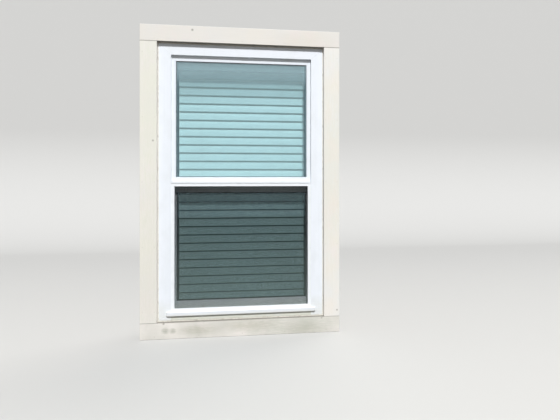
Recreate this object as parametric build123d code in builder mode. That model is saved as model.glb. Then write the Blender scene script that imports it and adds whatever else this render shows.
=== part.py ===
# Single-hung vinyl sash window with its outer wood casing, box frame, insect screen and slatted blind.
# Millimetres. +X is to the right seen from outside, +Y goes into the building, +Z is up.
# The origin is the middle of the wall-side land on the back of the bottom casing board.

import math
import os

from build123d import *

os.makedirs("parts", exist_ok=True)

# Opening, casing boards and wood box
opening_w = 914.4
opening_h = 1524.0
casing_w = 88.9
casing_t = 25.4
head_proud = 1.0
casing_ease = 1.6
kerf_w = 5.0
kerf_d = 3.0
liner_t = 19.0
wall_depth = 140.0

# Vinyl unit in the opening
unit_gap = 6.2
unit_setback = 22.0
jamb_face = 65.0
head_face = 59.5
vinyl_wall = 2.5
sealant_t = 10.0
sealant_front = -2.0

# Tracks of the vinyl unit, front to back
screen_lip = 3.0
screen_slot = 9.6
middle_lip = 2.6
sash_slot = 31.4
parting_fin = 2.4
inner_run = 34.0
screen_track = 9.0
outer_track = 14.0
inner_track = 6.0
head_track = 12.0
step_w = 14.0
step_d = 1.2

# Balance pocket in each jamb
pocket_start = 7.0
pocket_run = 18.0
pocket_depth = 17.5
pocket_slot = 9.0

# Sill
sill_flange = 23.8
nosing_h = 21.6
nosing_reach = 12.0
nosing_lap = 25.0
nosing_round = 6.0
sill_slope = 3.5
sill_dam_w = 3.4
sill_dam_h = 20.0
sash_lift = 3.0

# Sashes and glazing
fit = 0.3
outer_play = 3.0
sash_t = 30.0
upper_stile = 35.0
lower_stile = 25.0
bottom_rail = 40.0
check_rail = 67.0
meeting_rail = 43.5
meeting_lap = 25.0
meeting_drop = 18.75
top_rail = 42.4
flange_set = 0.5
sash_ease = 1.0
meeting_seal_w = 6.0
meeting_seal_set = 8.0
seal_end = 6.0
pile_set = 2.0
glazing_rebate = 12.0
bead_t = 2.7
gasket_t = 1.2
gasket_show = 2.0
pane_t = 3.0
spacer_t = 10.0
spacer_w = 13.5
spacer_set = 1.0
pane_play = 2.0
lift_rail_w = 600.0
lift_rail_reach = 10.0
lift_rail_h = 8.0
lift_rail_set = 4.0
lift_rail_root = 1.0
travel_stop = 94.0

# Sash hardware
lock_set = 15.7
lock_plate_l = 70.0
lock_plate_w = 24.0
lock_plate_t = 3.0
lock_pin_r = 3.0
cam_t = 4.0
cam_r = 10.0
cam_reach = 23.0
cam_nose_r = 5.0
lever_tip_r = 4.0
lever_l = 28.0
lever_t = 5.0
keeper_l = 50.0
keeper_h = 13.0
keeper_wall = 2.0
keeper_leg = 3.3
latch_travel = 10.0
latch_body_l = 48.0
latch_body_w = 12.0
latch_body_h = 11.5
latch_bolt_w = 7.4
latch_bolt_l = 17.5
latch_reach = 8.5
latch_button_h = 4.5
latch_button_l = 16.0
latch_button_sink = 0.5
pivot_w = 8.0
pivot_h = 5.0
pivot_l = 30.0
pivot_set = 6.0
shoe_h = 40.0
rod_r = 3.0
rod_lap = 36.0
tube_r = 4.75
tube_wall = 1.0
tube_clear = 64.0
tube_drop = 6.0
tube_cap_h = 15.0

# Insect screen
screen_t = 9.0
screen_bar = 25.0
screen_lap = 7.5
screen_rebate_w = 8.0
mesh_edge = 8.0
tab_at = 0.55
screen_metal = 1.0
screen_key_leg = 45.0
screen_show = 18.0
tab_w = 14.0
tab_l = 26.0
tab_t = 0.8
mesh_t = 0.6
mesh_columns = 8
mesh_rows = 13
mesh_web = 5.0
spline_w = 2.4
spline_t = 2.5

# Fasteners
screw_r = 2.5
screw_head_r = 5.0
screw_head_t = 3.0
screw_bite = 10.0
screw_clear = 0.5
box_clear = 0.1
screw_sides = 12
head_screw_at = 0.55
screw_from_sill = 75.0
screw_from_meeting = 45.0

# Inner extension boards and the blind behind the sashes
extension_t = 19.0
blind_side_gap = 33.5
slat_w = 50.8
slat_t = 2.8
slat_crown = 1.4
slat_pitch = 47.1
slat_angle = 77.0
blind_set = 30.4
headrail_d = 50.0
ladder_at = 230.0
ladder_w = 1.2
blind_rail_h = 16.0
valance_h = 64.0
valance_t = 7.0
channel_h = 40.0
channel_wall = 1.5
slat_clear = 6.0
blind_lift = 3.0
blind_rail_d = 46.0

# Heights and depths that follow from the sizes above
opening_z = casing_w - (casing_w - liner_t - kerf_w) / 2
half_opening = opening_w / 2
unit_front = unit_setback - casing_t
half_unit = half_opening - unit_gap
half_lip = half_unit - jamb_face

v_screen = screen_lip
v_middle = v_screen + screen_slot
v_outer = v_middle + middle_lip
v_fin = v_outer + sash_slot
v_inner = v_fin + parting_fin
unit_depth = v_inner + inner_run
v_pocket = v_inner + pocket_start
v_balance = v_pocket + pocket_run / 2

h_unit = unit_gap
h_unit_top = opening_h - unit_gap
h_head_lip = h_unit_top - head_face
h_nosing = h_unit + sill_flange
h_sill_lip = h_nosing + nosing_h
h_screen_floor = h_sill_lip - screen_track - fit
h_sill_top = h_sill_lip + sill_slope
h_lower = h_sill_top + sash_lift
h_head_outer = h_head_lip + head_track
h_head_inner = h_head_lip + inner_track

half_outer_floor = half_lip + outer_track
half_inner_floor = half_lip + inner_track
half_upper = half_outer_floor - outer_play
half_lower = half_inner_floor - outer_play
h_glass_low = h_lower + bottom_rail
h_upper_top = h_head_outer - fit
h_upper_glass_top = h_upper_top - top_rail
h_screen = h_screen_floor + fit
h_meeting = (h_lower + h_upper_top) / 2 - meeting_drop
h_screen_top = h_meeting + screen_show
h_upper_glass = h_meeting + meeting_rail
h_lower_top = h_meeting + meeting_lap
h_lower_glass_top = h_lower_top - check_rail

v_upper = v_outer + fit
v_upper_back = v_fin - fit
v_lower = v_inner + fit
v_lower_back = v_lower + sash_t
igu_t = 2 * pane_t + spacer_t

y_blind = unit_front + unit_depth + blind_set
h_headrail = h_head_inner - valance_h
half_blind = half_inner_floor - blind_side_gap
slat_room = h_headrail - h_sill_top - blind_rail_h - slat_clear - blind_lift
slat_count = int(slat_room / slat_pitch)
sash_travel = h_head_inner - h_lower_top - travel_stop


def deep(v):
    """Y of a depth v behind the vinyl unit's outer face."""
    return unit_front + v


def up(h):
    """Z of a height h above the bottom of the opening."""
    return opening_z + h


def rect(a0, a1, b0, b1, mode=Mode.ADD):
    """Rectangle between two pairs of coordinates of the sketch."""
    with Locations(((a0 + a1) / 2, (b0 + b1) / 2)):
        Rectangle(abs(a1 - a0), abs(b1 - b0), mode=mode)


def facade(y):
    """Plane of the facade at depth y, with sketch x along X and sketch y along Z; minus extrudes inwards."""
    return Plane.XZ.offset(-y)


def save(shape, name):
    """Labels a finished piece and writes it under its name."""
    shape.label = name
    export_step(shape, f"parts/{name}.step")


# Wood casing boards, with a relief kerf at the back where the box ends
def side_board(side):
    with BuildPart() as board:
        with BuildSketch(Plane.XY.offset(opening_z)):
            rect(side * half_opening, side * (half_opening + casing_w), -casing_t, 0)
            kerf = half_opening + liner_t
            rect(side * kerf, side * (kerf + kerf_w), -kerf_d, 0, Mode.SUBTRACT)
        extrude(amount=opening_h)
        fillet(board.faces().sort_by(Axis.Y)[0].edges().filter_by(Axis.Z), casing_ease)
    return board.part


def cross_board(edge, way, thickness):
    half = half_opening + casing_w
    with BuildPart() as board:
        with BuildSketch(Plane.YZ.offset(-half)):
            rect(-thickness, 0, edge, edge + way * casing_w)
            kerf = edge + way * liner_t
            rect(-kerf_d, 0, kerf, kerf + way * kerf_w, Mode.SUBTRACT)
        extrude(amount=2 * half)
        fillet(board.faces().sort_by(Axis.Y)[0].edges(), casing_ease)
    return board.part


save(side_board(-1), "casing_left")
save(side_board(1), "casing_right")
save(cross_board(up(opening_h), 1, casing_t + head_proud), "casing_head")
save(cross_board(opening_z, -1, casing_t), "casing_bottom")

# Screw places: six through the jambs in the empty half of the outer track, two through the head
screw_low = h_lower + screw_from_sill
screw_high = h_meeting - screw_from_meeting
screw_heights = [screw_low, (screw_low + screw_high) / 2, screw_high]
screw_v = (v_outer + v_fin) / 2
head_screw_v = v_balance
head_screw_x = head_screw_at * half_lip


# Wood box behind the casing
def box_jamb(side):
    z0, z1 = up(-liner_t), up(opening_h + liner_t)
    with BuildPart() as jamb:
        with BuildSketch(Plane.XY.offset(z0)):
            rect(side * half_opening, side * (half_opening + liner_t), 0, wall_depth)
        extrude(amount=z1 - z0)
        with BuildSketch(Plane.YZ.offset(side * half_opening)):
            with Locations(*[(deep(screw_v), up(h)) for h in screw_heights]):
                RegularPolygon(screw_r + box_clear, screw_sides)
        extrude(amount=side * liner_t, mode=Mode.SUBTRACT)
    return jamb.part


def box_cross(z0, holes):
    with BuildPart() as board:
        with BuildSketch(Plane.XY.offset(z0)):
            rect(-half_opening, half_opening, 0, wall_depth)
            if holes:
                with Locations((-head_screw_x, deep(head_screw_v)), (head_screw_x, deep(head_screw_v))):
                    RegularPolygon(screw_r + box_clear, screw_sides, mode=Mode.SUBTRACT)
        extrude(amount=liner_t)
    return board.part


save(box_jamb(-1), "box_jamb_left")
save(box_jamb(1), "box_jamb_right")
save(box_cross(up(opening_h), True), "box_head")
save(box_cross(up(-liner_t), False), "box_sill")


# Bead of sealant in the gap between the box and the vinyl unit
with BuildPart() as sealant:
    with BuildSketch(facade(sealant_front)):
        rect(-half_opening, half_opening, up(0), up(opening_h))
        rect(-half_unit, half_unit, up(h_unit), up(h_unit_top), Mode.SUBTRACT)
    extrude(amount=-sealant_t)
save(sealant.part, "perimeter_sealant")


# Vinyl jamb: an extrusion with screen track, outer sash track, inner track, balance pocket and chambers
def vinyl_jamb(side):
    def band(d0, d1, v0, v1, mode=Mode.SUBTRACT):
        rect(side * (half_lip + d0), side * (half_lip + d1), deep(v0), deep(v1), mode)

    back = jamb_face - vinyl_wall
    pocket_wall = inner_track + vinyl_wall
    pocket_end = pocket_wall + pocket_depth
    chamber_split = (outer_track + back) / 2
    with BuildPart() as jamb:
        with BuildSketch(Plane.XY.offset(up(h_unit))):
            band(0, jamb_face, 0, unit_depth, Mode.ADD)
            band(jamb_face - step_w, jamb_face, 0, step_d)
            band(0, screen_track, v_screen, v_middle)
            band(0, outer_track, v_outer, v_fin)
            band(0, inner_track, v_inner, unit_depth)
            band(screen_track + vinyl_wall, back, v_screen, v_middle)
            band(outer_track + vinyl_wall, chamber_split - vinyl_wall / 2, v_outer, v_fin)
            band(chamber_split + vinyl_wall / 2, back, v_outer, v_fin)
            band(pocket_wall, pocket_end, v_pocket, v_pocket + pocket_run)
            band(inner_track, pocket_wall, v_balance - pocket_slot / 2, v_balance + pocket_slot / 2)
            band(pocket_end + vinyl_wall, back, v_inner, unit_depth - vinyl_wall)
        extrude(amount=h_unit_top - h_unit)
        with BuildSketch(Plane.YZ.offset(side * half_outer_floor)):
            with Locations(*[(deep(screw_v), up(h)) for h in screw_heights]):
                RegularPolygon(screw_r + screw_clear, screw_sides)
        extrude(amount=side * jamb_face, mode=Mode.SUBTRACT)
    return jamb.part


save(vinyl_jamb(-1), "vinyl_jamb_left")
save(vinyl_jamb(1), "vinyl_jamb_right")


# Vinyl head between the jambs, with the same tracks
with BuildPart() as vinyl_head:
    with BuildSketch(Plane.YZ.offset(-half_lip)):
        rect(deep(0), deep(unit_depth), up(h_head_lip), up(h_unit_top))
        rect(deep(0), deep(step_d), up(h_unit_top - step_w), up(h_unit_top), Mode.SUBTRACT)
        rect(deep(v_screen), deep(v_middle), up(h_head_lip), up(h_head_lip + screen_track), Mode.SUBTRACT)
        rect(deep(v_outer), deep(v_fin), up(h_head_lip), up(h_head_outer), Mode.SUBTRACT)
        rect(deep(v_inner), deep(unit_depth), up(h_head_lip), up(h_head_inner), Mode.SUBTRACT)
        chamber_top = up(h_unit_top - vinyl_wall)
        for v0, v1, floor in (
            (v_screen, v_middle, h_head_lip + screen_track),
            (v_outer, v_fin, h_head_outer),
            (v_inner, unit_depth - vinyl_wall, h_head_inner),
        ):
            rect(deep(v0), deep(v1), up(floor + vinyl_wall), chamber_top, Mode.SUBTRACT)
    extrude(amount=2 * half_lip)
    with BuildSketch(Plane.XY.offset(up(h_head_inner))):
        with Locations((-head_screw_x, deep(head_screw_v)), (head_screw_x, deep(head_screw_v))):
            RegularPolygon(screw_r + screw_clear, screw_sides)
    extrude(amount=head_face, mode=Mode.SUBTRACT)
save(vinyl_head.part, "vinyl_head")


# Vinyl sill: sloped top, screen track, inner dam and two open chambers
with BuildPart() as vinyl_sill:
    with BuildSketch(Plane.YZ.offset(-half_lip)):
        with BuildLine():
            Polyline(
                (deep(0), up(h_unit)),
                (deep(0), up(h_sill_lip)),
                (deep(v_screen), up(h_sill_lip)),
                (deep(v_screen), up(h_screen_floor)),
                (deep(v_middle), up(h_screen_floor)),
                (deep(v_middle), up(h_sill_lip)),
                (deep(v_inner), up(h_sill_top)),
                (deep(unit_depth - sill_dam_w), up(h_sill_top)),
                (deep(unit_depth - sill_dam_w), up(h_sill_top + sill_dam_h)),
                (deep(unit_depth), up(h_sill_top + sill_dam_h)),
                (deep(unit_depth), up(h_unit)),
                close=True,
            )
        make_face()
        under = up(h_unit + vinyl_wall)
        middle = (v_middle + unit_depth) / 2
        rect(deep(vinyl_wall), deep(v_middle), under, up(h_screen_floor - vinyl_wall), Mode.SUBTRACT)
        chamber_h = up(h_sill_lip - vinyl_wall)
        rect(deep(v_middle + vinyl_wall), deep(middle - vinyl_wall), under, chamber_h, Mode.SUBTRACT)
        rect(deep(middle), deep(unit_depth - vinyl_wall), under, chamber_h, Mode.SUBTRACT)
    extrude(amount=2 * half_lip)
save(vinyl_sill.part, "vinyl_sill")


# Projecting nosing on the sill's face, with rounded ends and front edges
with BuildPart() as nosing:
    half_nosing = half_lip + nosing_lap
    with BuildSketch(Plane.XY.offset(up(h_nosing))):
        rect(-half_nosing, half_nosing, deep(-nosing_reach), deep(0))
    extrude(amount=nosing_h)
    fillet(nosing.edges().filter_by(Axis.Z).group_by(Axis.Y)[0], nosing_reach * 0.8)
    fillet(nosing.faces().sort_by(Axis.Z)[-1].edges().group_by(Axis.Y)[0], nosing_round / 2)
    fillet(nosing.faces().sort_by(Axis.Z)[0].edges().group_by(Axis.Y)[0], nosing_round / 3)
save(nosing.part, "sill_nosing")


# Glazed sashes
def sash_frame(half_w, h0, h1, half_glass, g0, g1, v0, v1):
    """Welded sash: a ring with an outer glazing rebate, eased on the edges round the glass."""
    with BuildPart() as sash:
        with BuildSketch(facade(deep(v0))):
            rect(-half_w, half_w, up(h0), up(h1))
            rect(-half_glass, half_glass, up(g0), up(g1), Mode.SUBTRACT)
        extrude(amount=-(v1 - v0))
        inner = sash.faces().sort_by(Axis.Y)[-1].inner_wires()[0].edges()
        chamfer(inner, sash_ease)
        with BuildSketch(facade(deep(v0))):
            reach = glazing_rebate
            rect(-half_glass - reach, half_glass + reach, up(g0 - reach), up(g1 + reach))
        extrude(amount=-(bead_t + gasket_t + igu_t + fit), mode=Mode.SUBTRACT)
    return sash.part


def ring(half_w, h0, h1, width, v0, thickness):
    """Flat rectangular ring, width wide, with its outer edge at the given half width and heights."""
    with BuildPart() as band:
        with BuildSketch(facade(deep(v0))):
            rect(-half_w, half_w, up(h0), up(h1))
            rect(width - half_w, half_w - width, up(h0 + width), up(h1 - width), Mode.SUBTRACT)
        extrude(amount=-thickness)
    return band.part


def plate(half_w, h0, h1, v0, thickness):
    """Flat plate across the facade."""
    with BuildPart() as sheet:
        with BuildSketch(facade(deep(v0))):
            rect(-half_w, half_w, up(h0), up(h1))
        extrude(amount=-thickness)
    return sheet.part


def mitred(edge, half_w, h0, h1, a, b):
    """Corners of the band between insets a and b along one edge of a rectangle, mitred at both ends."""
    if edge in ("left", "right"):
        side = -1 if edge == "left" else 1
        inset = ((a, h0 + a), (b, h0 + b), (b, h1 - b), (a, h1 - a))
        return [(side * (half_w - i), up(h)) for i, h in inset]
    base, way = (h0, 1) if edge == "bottom" else (h1, -1)
    inset = ((a, -1), (b, -1), (b, 1), (a, 1))
    return [(s * (half_w - i), up(base + way * i)) for i, s in inset]


def mitred_bar(edge, half_w, h0, h1, a, b, v0, thickness):
    """One mitred bar of a rectangular frame."""
    with BuildPart() as bar:
        with BuildSketch(facade(deep(v0))):
            with BuildLine():
                Polyline(*mitred(edge, half_w, h0, h1, a, b), close=True)
            make_face()
        extrude(amount=-thickness)
    return bar.part


def glazing(prefix, half_glass, g0, g1, v0):
    """Two panes, their spacer, the black gasket and the four outer beads of one sash."""
    grow = glazing_rebate - pane_play
    half_pane = half_glass + grow
    p0, p1 = g0 - grow, g1 + grow
    v_glass = v0 + bead_t + gasket_t
    save(plate(half_pane, p0, p1, v_glass, pane_t), f"{prefix}_outer_pane")
    save(plate(half_pane, p0, p1, v_glass + pane_t + spacer_t, pane_t), f"{prefix}_inner_pane")
    spacer = ring(half_pane - spacer_set, p0 + spacer_set, p1 - spacer_set, spacer_w, v_glass + pane_t, spacer_t)
    save(spacer, f"{prefix}_spacer")
    seal_w = grow + gasket_show
    save(ring(half_pane, p0, p1, seal_w, v_glass - gasket_t, gasket_t), f"{prefix}_gasket")
    r = glazing_rebate
    beads = []
    for edge in ("left", "right", "top", "bottom"):
        with BuildPart() as bead:
            add(mitred_bar(edge, half_glass + r, g0 - r, g1 + r, 0, r, v0, bead_t))
            front = bead.faces().sort_by(Axis.Y)[0]
            chamfer(front.edges().sort_by(SortBy.LENGTH)[2], bead_t * 0.7)
        beads.append(bead.part.solid())
    save(Compound(beads), f"{prefix}_glazing_beads")


half_upper_glass = half_upper - upper_stile
half_lower_glass = half_lower - lower_stile

upper_ring = sash_frame(
    half_upper, h_meeting, h_upper_top,
    half_upper_glass, h_upper_glass, h_upper_glass_top, v_upper, v_upper_back,
)
v_leg = v_upper + bead_t + gasket_t + igu_t + fit + keeper_leg
half_flange = half_lip - fit
with BuildPart() as upper_sash:
    add(upper_ring)
    # Ledge for the keeper along the inner side of the meeting rail
    with BuildSketch(Plane.YZ.offset(-half_upper_glass)):
        rect(deep(v_leg), deep(v_upper_back), up(h_lower_top), up(h_upper_glass))
    extrude(amount=2 * half_upper_glass, mode=Mode.SUBTRACT)
    # Flange that reaches forward over the screen's top bar and turns down in front of it
    with BuildSketch(Plane.YZ.offset(-half_flange)):
        rect(deep(flange_set), deep(v_upper), up(h_screen_top + fit), up(h_screen_top + fit + vinyl_wall))
        rect(deep(flange_set), deep(v_screen), up(h_screen_top - screen_lap), up(h_screen_top + fit))
    extrude(amount=2 * half_flange)
save(upper_sash.part, "upper_sash")
glazing("upper", half_upper_glass, h_upper_glass, h_upper_glass_top, v_upper)

# Lower sash with pockets for its latches and pivot bars, and a lift rail along the bottom rail
pocket_in = latch_travel + latch_body_l
latch_v0 = v_balance - latch_body_w / 2
pivot_h0 = h_lower + pivot_set
lower_ring = sash_frame(
    half_lower, h_lower, h_lower_top,
    half_lower_glass, h_glass_low, h_lower_glass_top, v_lower, v_lower_back,
)
latch_tail = half_lower - latch_bolt_l + latch_reach
with BuildPart() as lower_sash:
    add(lower_ring)
    with BuildSketch(Plane.YZ.offset(-lift_rail_w / 2)):
        h_lift = h_glass_low - lift_rail_h - lift_rail_set
        v_lift = v_lower_back - lift_rail_root
        rect(deep(v_lift), deep(v_lower_back + lift_rail_reach), up(h_lift), up(h_lift + lift_rail_h))
    extrude(amount=lift_rail_w)
    fillet(lower_sash.faces().sort_by(Axis.Y)[-1].edges().filter_by(Axis.X), lift_rail_h * 0.45)
    for side in (-1, 1):
        with BuildSketch(Plane.XY.offset(up(h_lower_top))):
            tail = side * (latch_tail - pocket_in - fit)
            rect(tail, side * (latch_tail + fit), deep(latch_v0 - fit), deep(latch_v0 + latch_body_w + fit))
            bolt = latch_bolt_w / 2 + fit
            rect(side * latch_tail, side * half_lower, deep(v_balance - bolt), deep(v_balance + bolt))
        extrude(amount=-(latch_body_h + fit), mode=Mode.SUBTRACT)
        with BuildSketch(Plane.YZ.offset(side * half_lower)):
            half = pivot_w / 2 + fit
            y0, y1 = deep(v_balance - half), deep(v_balance + half)
            rect(y0, y1, up(pivot_h0 - fit), up(pivot_h0 + pivot_h + fit))
        extrude(amount=-side * (pivot_l / 2 + fit), mode=Mode.SUBTRACT)
save(lower_sash.part, "lower_sash")
glazing("lower", half_lower_glass, h_glass_low, h_lower_glass_top, v_lower)

# Seals that ride with the lower sash
half_seal = half_lip - seal_end
with BuildPart() as bottom_seal:
    with BuildSketch(Plane.YZ.offset(-half_seal)):
        seal_r = (sash_lift - fit) / 2
        with Locations((deep(v_balance), up(h_lower - seal_r))):
            SlotOverall(5 * seal_r, 2 * seal_r)
    extrude(amount=2 * half_seal)
save(bottom_seal.part, "bottom_bulb_seal")

seal_gap = v_lower - v_upper_back - 2 * fit
h_seal = h_meeting + meeting_seal_set
seal = plate(half_seal, h_seal, h_seal + meeting_seal_w, v_upper_back + 2 * fit, seal_gap)
save(seal, "meeting_rail_seal")

for name, side in (("left", -1), ("right", 1)):
    with BuildPart() as pile:
        with BuildSketch(Plane.XY.offset(up(h_lower + pile_set))):
            x0, x1 = side * half_lower, side * (half_inner_floor - fit)
            rect(x0, x1, deep(v_lower + pile_set), deep(v_pocket - fit))
        extrude(amount=h_lower_top - h_lower - 2 * pile_set)
    save(pile.part, f"side_pile_{name}")

# Sash lock on the check rail: base with its post, lever with cam, and the keeper on the meeting rail
v_lock = v_lower + lock_set
y_lock = deep(v_lock)
plate_top = h_lower_top + lock_plate_t
cam_h0 = plate_top + fit
with BuildPart() as lock_base:
    with BuildSketch(Plane.XY.offset(up(h_lower_top))):
        with Locations((0, y_lock)):
            SlotOverall(lock_plate_l, lock_plate_w)
    extrude(amount=lock_plate_t)
    chamfer(lock_base.faces().sort_by(Axis.Z)[-1].edges(), lock_plate_t / 3)
    with BuildSketch(Plane.XY.offset(up(plate_top))):
        with Locations((0, y_lock)):
            Circle(lock_pin_r)
    extrude(amount=fit + cam_t + lever_t)
save(lock_base.part, "lock_base")

with BuildPart() as lock_lever:
    with BuildSketch(Plane.XY.offset(up(cam_h0))):
        with Locations((0, y_lock)):
            Circle(cam_r)
        nose_at = cam_reach - cam_nose_r
        with Locations((0, y_lock + nose_at / 2)):
            Rectangle(2 * cam_nose_r, nose_at)
        with Locations((0, y_lock + nose_at)):
            Circle(cam_nose_r)
    extrude(amount=cam_t)
    with BuildSketch(Plane.XY.offset(up(cam_h0 + cam_t))):
        with Locations((0, y_lock)):
            Circle(cam_r - 1)
        tip_at = lever_l - lever_tip_r
        root = cam_r * 0.8
        with BuildLine():
            Polyline(
                (0, y_lock - root),
                (tip_at, y_lock - lever_tip_r),
                (tip_at, y_lock + lever_tip_r),
                (0, y_lock + root),
                close=True,
            )
        make_face()
        with Locations((tip_at, y_lock)):
            Circle(lever_tip_r)
    extrude(amount=lever_t)
    chamfer(lock_lever.faces().sort_by(Axis.Z)[-1].edges(), lever_t / 4)
    with BuildSketch(Plane.XY.offset(up(cam_h0))):
        with Locations((0, y_lock)):
            Circle(lock_pin_r + fit)
    extrude(amount=cam_t + lever_t, mode=Mode.SUBTRACT)
save(lock_lever.part, "lock_lever")

with BuildPart() as keeper:
    with BuildSketch(Plane.XY.offset(up(h_lower_top))):
        rect(-keeper_l / 2, keeper_l / 2, deep(v_leg), deep(v_upper_back))
    extrude(amount=keeper_h)
    fillet(keeper.faces().sort_by(Axis.Z)[-1].edges().group_by(Axis.Y)[-1], keeper_wall / 2)
    with BuildSketch(Plane.XY.offset(up(cam_h0 - 2 * fit))):
        end = keeper_l / 2 - 4 * keeper_wall
        rect(-keeper_l / 2, end, deep(v_leg + keeper_wall), deep(v_upper_back))
    extrude(amount=cam_t + 4 * fit, mode=Mode.SUBTRACT)
save(keeper.part, "lock_keeper")

# Tilt latches in the ends of the check rail, pivot bars and balances
for name, side in (("left", -1), ("right", 1)):
    x_tip = side * (half_lower + latch_reach)
    x_body = side * latch_tail
    with BuildPart() as latch:
        with BuildSketch(Plane.XY.offset(up(h_lower_top - latch_body_h))):
            rect(x_body, x_body - side * latch_body_l, deep(latch_v0), deep(latch_v0 + latch_body_w))
            bolt = latch_bolt_w / 2
            rect(x_body, x_tip, deep(v_balance - bolt), deep(v_balance + bolt))
        extrude(amount=latch_body_h - latch_button_sink)
        tip = latch.faces().sort_by(Axis.X)[-1 if side > 0 else 0].edges().filter_by(Axis.Y)
        chamfer(tip.sort_by(Axis.Z)[0], latch_bolt_w * 0.4)
        with BuildSketch(Plane.XY.offset(up(h_lower_top - latch_button_sink))):
            with Locations((x_body - side * latch_body_l * 0.6, deep(v_balance))):
                SlotOverall(latch_button_l, latch_body_w * 0.7)
        extrude(amount=latch_button_h)
    save(latch.part, f"tilt_latch_{name}")

    with BuildPart() as pivot:
        with BuildSketch(Plane.XY.offset(up(pivot_h0))):
            x_in = side * (half_lower - pivot_l / 2)
            rect(x_in, x_in + side * pivot_l, deep(v_balance - pivot_w / 2), deep(v_balance + pivot_w / 2))
        extrude(amount=pivot_h)
        chamfer(pivot.edges().filter_by(Axis.Z), pivot_h / 5)
    save(pivot.part, f"pivot_bar_{name}")

    x_wall = half_inner_floor + vinyl_wall
    x_balance = side * (x_wall + pocket_depth / 2)
    y_balance = deep(v_balance)
    shoe_w, shoe_run = pocket_depth - 2 * fit, pocket_run - 2 * fit
    shoe_h0 = pivot_h0 - pivot_set
    with BuildPart() as shoe:
        with BuildSketch(Plane.XY.offset(up(shoe_h0))):
            with Locations((x_balance, y_balance)):
                Rectangle(shoe_w, shoe_run)
        extrude(amount=shoe_h)
        chamfer(shoe.edges().filter_by(Axis.Y), shoe_w * 0.08)
        with BuildSketch(Plane.YZ.offset(side * (x_wall + fit))):
            half = pivot_w / 2 + fit
            rect(y_balance - half, y_balance + half, up(pivot_h0 - fit), up(pivot_h0 + pivot_h + fit))
        notch = pivot_l / 2 - outer_play - vinyl_wall
        extrude(amount=side * notch, mode=Mode.SUBTRACT)
    save(shoe.part, f"balance_shoe_{name}")

    h_tube = shoe_h0 + shoe_h + sash_travel + tube_clear
    with BuildPart() as rod:
        with BuildSketch(Plane.XY.offset(up(shoe_h0 + shoe_h))):
            with Locations((x_balance, y_balance)):
                RegularPolygon(rod_r, 4)
        extrude(amount=h_tube - shoe_h0 - shoe_h + rod_lap)
    save(rod.part, f"balance_rod_{name}")

    h_tube_top = h_head_lip - tube_drop
    with BuildPart() as tube:
        with BuildSketch(Plane.XY.offset(up(h_tube))):
            with Locations((x_balance, y_balance)):
                Circle(tube_r)
                Circle(tube_r - tube_wall, mode=Mode.SUBTRACT)
        extrude(amount=h_tube_top - h_tube)
        with BuildSketch(Plane.XY.offset(up(h_tube_top - tube_cap_h))):
            with Locations((x_balance, y_balance)):
                Rectangle(shoe_w, shoe_run)
        extrude(amount=tube_cap_h)
    save(tube.part, f"balance_tube_{name}")


# Insect screen over the lower half: mitred roll-formed bars with corner keys, mesh, spline and tabs
half_screen = half_lip + screen_lap
v_frame = v_screen + fit
v_mesh = v_frame + screen_t - screen_metal - mesh_t
spline_at = screen_bar - screen_rebate_w
chamber_in = spline_at - 2 * screen_metal
for edge in ("left", "right", "top", "bottom"):
    with BuildPart() as bar:
        add(mitred_bar(edge, half_screen, h_screen, h_screen_top, 0, screen_bar, v_frame, screen_t))
        for a, b, v0, v1 in (
            (screen_metal, chamber_in, v_frame + screen_metal, v_frame + screen_t - screen_metal),
            (spline_at, screen_bar, v_mesh, v_frame + screen_t),
            (spline_at, spline_at + spline_w, v_mesh - spline_t, v_mesh),
        ):
            with BuildSketch(facade(deep(v0))):
                with BuildLine():
                    Polyline(*mitred(edge, half_screen, h_screen, h_screen_top, a, b), close=True)
                make_face()
            extrude(amount=-(v1 - v0), mode=Mode.SUBTRACT)
    save(bar.part, f"screen_bar_{edge}")

keys = []
key_in = screen_metal + fit
key_w = chamber_in - screen_metal - 2 * fit
key_t = screen_t - 2 * screen_metal - 2 * fit
for side in (-1, 1):
    for base, way in ((h_screen, 1), (h_screen_top, -1)):
        with BuildPart() as key:
            with BuildSketch(facade(deep(v_frame + key_in))):
                x_out = side * (half_screen - key_in)
                h_out = base + way * key_in
                rect(x_out, x_out - side * screen_key_leg, up(h_out), up(h_out + way * key_w))
                rect(x_out, x_out - side * key_w, up(h_out), up(h_out + way * screen_key_leg))
            extrude(amount=-key_t)
        keys.append(key.part.solid())
save(Compound(keys), "screen_corner_keys")

mesh_in = spline_at + spline_w + fit
half_mesh = half_screen - mesh_in
mesh_h0, mesh_h1 = h_screen + mesh_in, h_screen_top - mesh_in
cell_w = 2 * (half_mesh - mesh_edge) / mesh_columns
cell_h = (mesh_h1 - mesh_h0 - 2 * mesh_edge) / mesh_rows
with BuildPart() as mesh:
    with BuildSketch(facade(deep(v_mesh))):
        rect(-half_mesh, half_mesh, up(mesh_h0), up(mesh_h1))
        with Locations((0, up((mesh_h0 + mesh_h1) / 2))):
            with GridLocations(cell_w, cell_h, mesh_columns, mesh_rows):
                Rectangle(cell_w - mesh_web, cell_h - mesh_web, mode=Mode.SUBTRACT)
    extrude(amount=-mesh_t)
save(mesh.part, "screen_mesh")

spline = ring(
    half_screen - spline_at - fit / 2, h_screen + spline_at + fit / 2, h_screen_top - spline_at - fit / 2,
    spline_w - fit, v_mesh - spline_t, spline_t + mesh_t,
)
save(spline, "screen_spline")

tabs = []
for side in (-1, 1):
    with BuildPart() as tab:
        tab_v = v_frame + screen_t
        with BuildSketch(facade(deep(tab_v))):
            with Locations((side * half_screen * tab_at, up(h_sill_lip + fit + tab_l / 2))):
                RectangleRounded(tab_w, tab_l, tab_w / 5)
        extrude(amount=-tab_t)
    tabs.append(tab.part.solid())
save(Compound(tabs), "screen_pull_tabs")


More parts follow.
